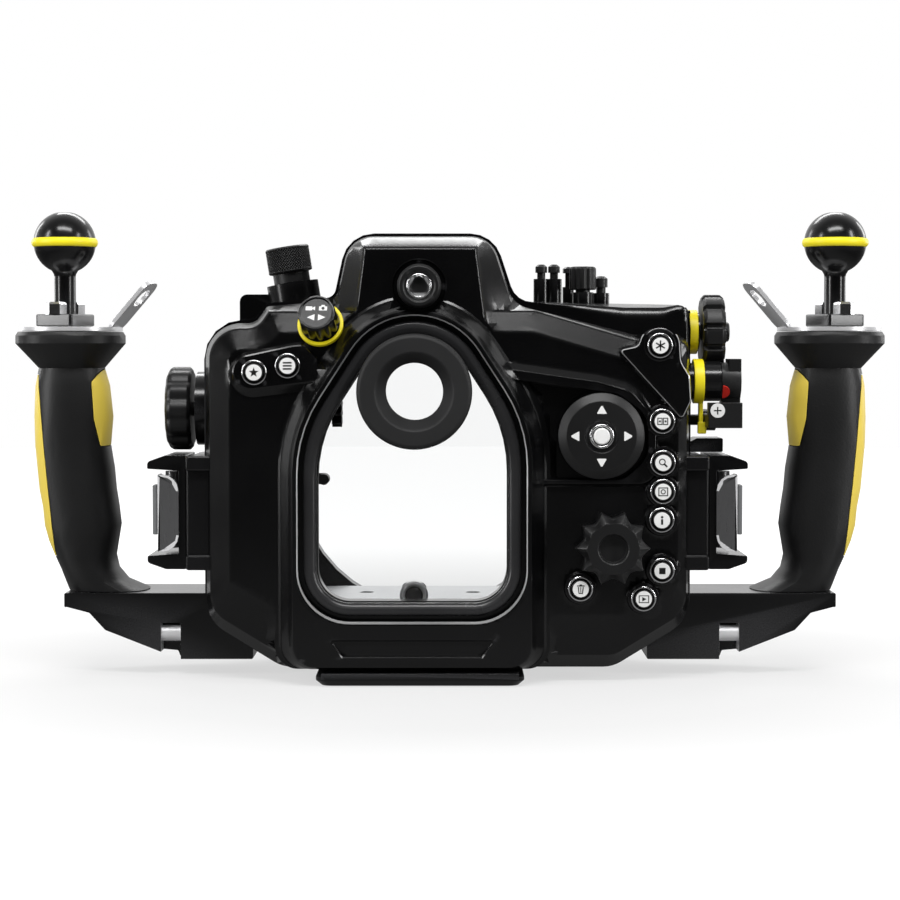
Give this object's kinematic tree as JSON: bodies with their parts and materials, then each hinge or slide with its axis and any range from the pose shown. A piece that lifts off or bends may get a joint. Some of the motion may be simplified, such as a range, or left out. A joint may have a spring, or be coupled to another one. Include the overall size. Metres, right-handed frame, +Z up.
{
  "type": "underwater camera housing",
  "caption": "Black underwater housing for a large SLR camera, with a windowed rear door, push buttons, dials, side latches and two grips with ball mounts.",
  "frame": {"origin": "on the flat underside of the foot, midway between the two grips", "axes": "+X to the right as seen from behind, +Y forward to the port, +Z up"},
  "size_m": [0.3564, 0.1143, 0.1885],
  "materials": {
    "black_anodised": "satin black anodised",
    "black_plastic": "fine matt",
    "black_rubber": "matt moulded",
    "yellow_plastic": "satin moulded",
    "steel": "brushed",
    "silver": "clear anodised",
    "grey": "grey anodised",
    "white_plastic": "gloss",
    "clear_glass": "clear"
  },
  "bodies": {
    "housing": {"front_shell": "black_anodised", "door_seal": "black_rubber", "port_ring": "grey", "base_foot": "black_anodised", "camera_tray": "silver", "main_dial_ring": "yellow_plastic", "lever_ring": "yellow_plastic", "latch_block_left": "black_anodised", "latch_block_right": "black_anodised", "bracket_left": "black_plastic", "bracket_right": "black_plastic", "grip_left": "black_rubber", "grip_right": "black_rubber", "outer_pad_left": "yellow_plastic", "outer_pad_right": "yellow_plastic", "inner_pad_left": "yellow_plastic", "inner_pad_right": "yellow_plastic", "top_plate_left": "steel", "top_plate_right": "steel", "ball_mount_left": "black_anodised", "ball_mount_right": "black_anodised", "ball_ring_left": "yellow_plastic", "ball_ring_right": "yellow_plastic"},
    "door": {"rear_door": "black_anodised", "window_pane": "clear_glass", "window_bezel": "grey", "eyepiece_cup": "black_rubber", "eyepiece_glass": "clear_glass", "accessory_plug": "steel"},
    "zoom_dial": {"left_dial": "black_anodised", "zoom_gear": "black_rubber"},
    "rating_button": {"rating_button": "white_plastic"},
    "menu_button": {"menu_button": "white_plastic"},
    "star_button": {"star_button": "white_plastic"},
    "compare_button": {"compare_button": "white_plastic"},
    "zoom_button": {"zoom_button": "white_plastic"},
    "quick_button": {"quick_button": "white_plastic"},
    "info_button": {"info_button": "white_plastic"},
    "set_button": {"set_button": "white_plastic"},
    "play_button": {"play_button": "white_plastic"},
    "erase_button": {"erase_button": "white_plastic"},
    "four_way_gimbal": {"four_way_gimbal": "steel"},
    "four_way_pad": {"four_way_pad": "black_plastic"},
    "four_way_button": {"four_way_button": "white_plastic"},
    "rear_dial": {"rear_dial": "black_plastic"},
    "live_view_knob": {"live_view_knob": "black_plastic"},
    "mode_knob": {"mode_knob": "black_anodised"},
    "main_dial": {"main_dial": "black_anodised"},
    "record_lever": {"record_lever": "black_plastic"},
    "focus_lever": {"focus_lever": "black_plastic"},
    "slim_button_left": {"slim_button_left": "black_anodised"},
    "slim_button_right": {"slim_button_right": "black_anodised"},
    "wide_button": {"wide_button": "black_anodised"},
    "top_dial": {"top_dial": "black_anodised"},
    "latch_lever_left": {"latch_lever_left": "steel"},
    "latch_lever_right": {"latch_lever_right": "steel"},
    "latch_tab_left": {"latch_tab_left": "grey"},
    "latch_tab_right": {"latch_tab_right": "grey"},
    "tray_knob": {"tray_knob": "silver"},
    "lens_release": {"lens_release": "black_anodised"}
  },
  "joints": [
    {"name": "door_removal", "type": "slide", "parent": "housing", "child": "door", "axis": [0, -1, 0], "range_m": [0, 0.08]},
    {"name": "rating_press", "type": "slide", "parent": "door", "child": "rating_button", "axis": [0, 1, 0], "range_m": [0, 0.0015], "stiffness_N_per_m": 400, "springref_m": -0.001},
    {"name": "menu_press", "type": "slide", "parent": "door", "child": "menu_button", "axis": [0, 1, 0], "range_m": [0, 0.0015], "stiffness_N_per_m": 400, "springref_m": -0.001},
    {"name": "star_press", "type": "slide", "parent": "door", "child": "star_button", "axis": [0, 1, 0], "range_m": [0, 0.0015], "stiffness_N_per_m": 400, "springref_m": -0.001},
    {"name": "compare_press", "type": "slide", "parent": "door", "child": "compare_button", "axis": [0, 1, 0], "range_m": [0, 0.0015], "stiffness_N_per_m": 400, "springref_m": -0.001},
    {"name": "zoom_press", "type": "slide", "parent": "door", "child": "zoom_button", "axis": [0, 1, 0], "range_m": [0, 0.0015], "stiffness_N_per_m": 400, "springref_m": -0.001},
    {"name": "quick_press", "type": "slide", "parent": "door", "child": "quick_button", "axis": [0, 1, 0], "range_m": [0, 0.0015], "stiffness_N_per_m": 400, "springref_m": -0.001},
    {"name": "info_press", "type": "slide", "parent": "door", "child": "info_button", "axis": [0, 1, 0], "range_m": [0, 0.0015], "stiffness_N_per_m": 400, "springref_m": -0.001},
    {"name": "set_press", "type": "slide", "parent": "door", "child": "set_button", "axis": [0, 1, 0], "range_m": [0, 0.0015], "stiffness_N_per_m": 400, "springref_m": -0.001},
    {"name": "play_press", "type": "slide", "parent": "door", "child": "play_button", "axis": [0, 1, 0], "range_m": [0, 0.0015], "stiffness_N_per_m": 400, "springref_m": -0.001},
    {"name": "erase_press", "type": "slide", "parent": "door", "child": "erase_button", "axis": [0, 1, 0], "range_m": [0, 0.0015], "stiffness_N_per_m": 400, "springref_m": -0.001},
    {"name": "pad_up_down", "type": "hinge", "parent": "door", "child": "four_way_gimbal", "pos_m": [0.0593, -0.036, 0.0981], "axis": [1, 0, 0], "range_deg": [-4, 4], "stiffness_Nm_per_rad": 0.8},
    {"name": "pad_left_right", "type": "hinge", "parent": "four_way_gimbal", "child": "four_way_pad", "pos_m": [0.0593, -0.036, 0.0981], "axis": [0, 0, 1], "range_deg": [-4, 4], "stiffness_Nm_per_rad": 0.8},
    {"name": "pad_press", "type": "slide", "parent": "four_way_pad", "child": "four_way_button", "axis": [0, 1, 0], "range_m": [0, 0.0012], "stiffness_N_per_m": 400, "springref_m": -0.001},
    {"name": "rear_dial_spin", "type": "hinge", "parent": "door", "child": "rear_dial", "pos_m": [0.0637, -0.045, 0.0543], "axis": [0, 1, 0], "continuous": true},
    {"name": "live_view_turn", "type": "hinge", "parent": "door", "child": "live_view_knob", "pos_m": [-0.0509, -0.0374, 0.1419], "axis": [-0.0897, -0.917, 0.3887], "range_deg": [0, 60]},
    {"name": "zoom_dial_spin", "type": "hinge", "parent": "housing", "child": "zoom_dial", "pos_m": [-0.11, 0.004, 0.1078], "axis": [1, 0, 0], "continuous": true},
    {"name": "mode_knob_spin", "type": "hinge", "parent": "housing", "child": "mode_knob", "pos_m": [-0.0646, 0.003, 0.1594], "axis": [-0.1564, 0, 0.9877], "continuous": true},
    {"name": "main_dial_spin", "type": "hinge", "parent": "housing", "child": "main_dial", "pos_m": [0.107, 0.0005, 0.1391], "axis": [1, 0, 0], "continuous": true},
    {"name": "record_lever_turn", "type": "hinge", "parent": "housing", "child": "record_lever", "pos_m": [0.113, -0.0126, 0.1192], "axis": [1, 0, 0], "range_deg": [-12, 12], "stiffness_Nm_per_rad": 0.4},
    {"name": "focus_lever_turn", "type": "hinge", "parent": "housing", "child": "focus_lever", "pos_m": [0.105, -0.002, 0.1033], "axis": [1, 0, 0], "range_deg": [0, 10], "stiffness_Nm_per_rad": 0.4, "springref_deg": -2.86},
    {"name": "top_dial_spin", "type": "hinge", "parent": "housing", "child": "top_dial", "pos_m": [0.055, 0.013, 0.16], "axis": [0, 0, 1], "continuous": true},
    {"name": "slim_button_left_press", "type": "slide", "parent": "housing", "child": "slim_button_left", "axis": [0, 0, -1], "range_m": [0, 0.002], "stiffness_N_per_m": 400, "springref_m": -0.001},
    {"name": "slim_button_right_press", "type": "slide", "parent": "housing", "child": "slim_button_right", "axis": [0, 0, -1], "range_m": [0, 0.002], "stiffness_N_per_m": 400, "springref_m": -0.001},
    {"name": "wide_button_press", "type": "slide", "parent": "housing", "child": "wide_button", "axis": [0, 0, -1], "range_m": [0, 0.002], "stiffness_N_per_m": 400, "springref_m": -0.001},
    {"name": "latch_left_open", "type": "hinge", "parent": "housing", "child": "latch_lever_left", "pos_m": [-0.1126, -0.009, 0.067], "axis": [0, 0, -1], "range_deg": [0, 100]},
    {"name": "latch_left_tab", "type": "slide", "parent": "latch_lever_left", "child": "latch_tab_left", "axis": [0, 0, 1], "range_m": [0, 0.003]},
    {"name": "latch_right_open", "type": "hinge", "parent": "housing", "child": "latch_lever_right", "pos_m": [0.1106, -0.009, 0.067], "axis": [0, 0, 1], "range_deg": [0, 100]},
    {"name": "latch_right_tab", "type": "slide", "parent": "latch_lever_right", "child": "latch_tab_right", "axis": [0, 0, 1], "range_m": [0, 0.003]},
    {"name": "tray_knob_turn", "type": "hinge", "parent": "housing", "child": "tray_knob", "pos_m": [-0.0145, -0.017, 0.033], "axis": [0, 1, 0], "continuous": true},
    {"name": "lens_release_press", "type": "slide", "parent": "housing", "child": "lens_release", "axis": [0, -1, 0], "range_m": [0, 0.003], "stiffness_N_per_m": 400, "springref_m": -0.001}
  ]
}
